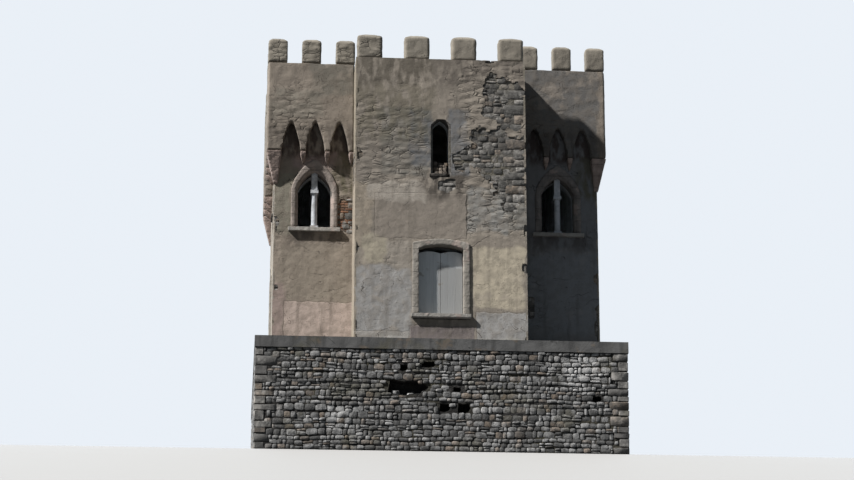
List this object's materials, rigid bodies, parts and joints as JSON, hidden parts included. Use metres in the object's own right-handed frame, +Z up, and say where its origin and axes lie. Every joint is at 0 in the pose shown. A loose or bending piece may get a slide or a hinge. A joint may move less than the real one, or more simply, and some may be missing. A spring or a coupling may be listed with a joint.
{
  "type": "fortified watchtower",
  "caption": "Lookout tower in the medieval style, with a middle part that steps forward, pointed windows, corbelled corner bays and battlements, on a square rubble plinth.",
  "frame": {"origin": "centre of the plinth's base, on the ground", "axes": "+Z up; the front with the shuttered window of the picture faces -Y"},
  "size_m": [9.88, 9.88, 11.93],
  "materials": {
    "rubble": "rough rubble in mortar",
    "earth": "rubble and earth fill",
    "cement": "weathered cement",
    "plaster": "patchy lime plaster on masonry",
    "dressed_stone": "dressed stone, weathered",
    "pillar_stone": "smooth pale grey stone",
    "shutter_board": "faded grey paint",
    "oak": "old oak boards"
  },
  "bodies": {
    "root": {"plinth_front_wall": "rubble", "plinth_right_wall": "rubble", "plinth_back_wall": "rubble", "plinth_left_wall": "rubble", "plinth_fill": "earth", "platform_slab": "cement", "front_wall": "plaster", "front_right_corner_wall": "plaster", "right_wall": "plaster", "back_right_corner_wall": "plaster", "back_wall": "plaster", "back_left_corner_wall": "plaster", "left_wall": "plaster", "front_left_corner_wall": "plaster", "first_floor": "cement", "roof_terrace": "cement", "window_surrounds": "dressed_stone", "window_shutters": "shutter_board", "window_cills": "dressed_stone", "door_surround": "dressed_stone", "door": "oak", "door_threshold": "dressed_stone", "front_right_lancet_surround": "dressed_stone", "back_right_lancet_surround": "dressed_stone", "back_left_lancet_surround": "dressed_stone", "front_left_lancet_surround": "dressed_stone", "lancet_pillars": "pillar_stone", "lancet_cills": "dressed_stone", "slit_cills": "dressed_stone", "front_right_corbels": "dressed_stone", "back_right_corbels": "dressed_stone", "back_left_corbels": "dressed_stone", "front_left_corbels": "dressed_stone", "front_right_bay": "plaster", "back_right_bay": "plaster", "back_left_bay": "plaster", "front_left_bay": "plaster", "front_parapet": "plaster", "right_parapet": "plaster", "back_parapet": "plaster", "left_parapet": "plaster", "wall_merlons": "plaster", "bay_merlons": "plaster"}
  },
  "joints": []
}
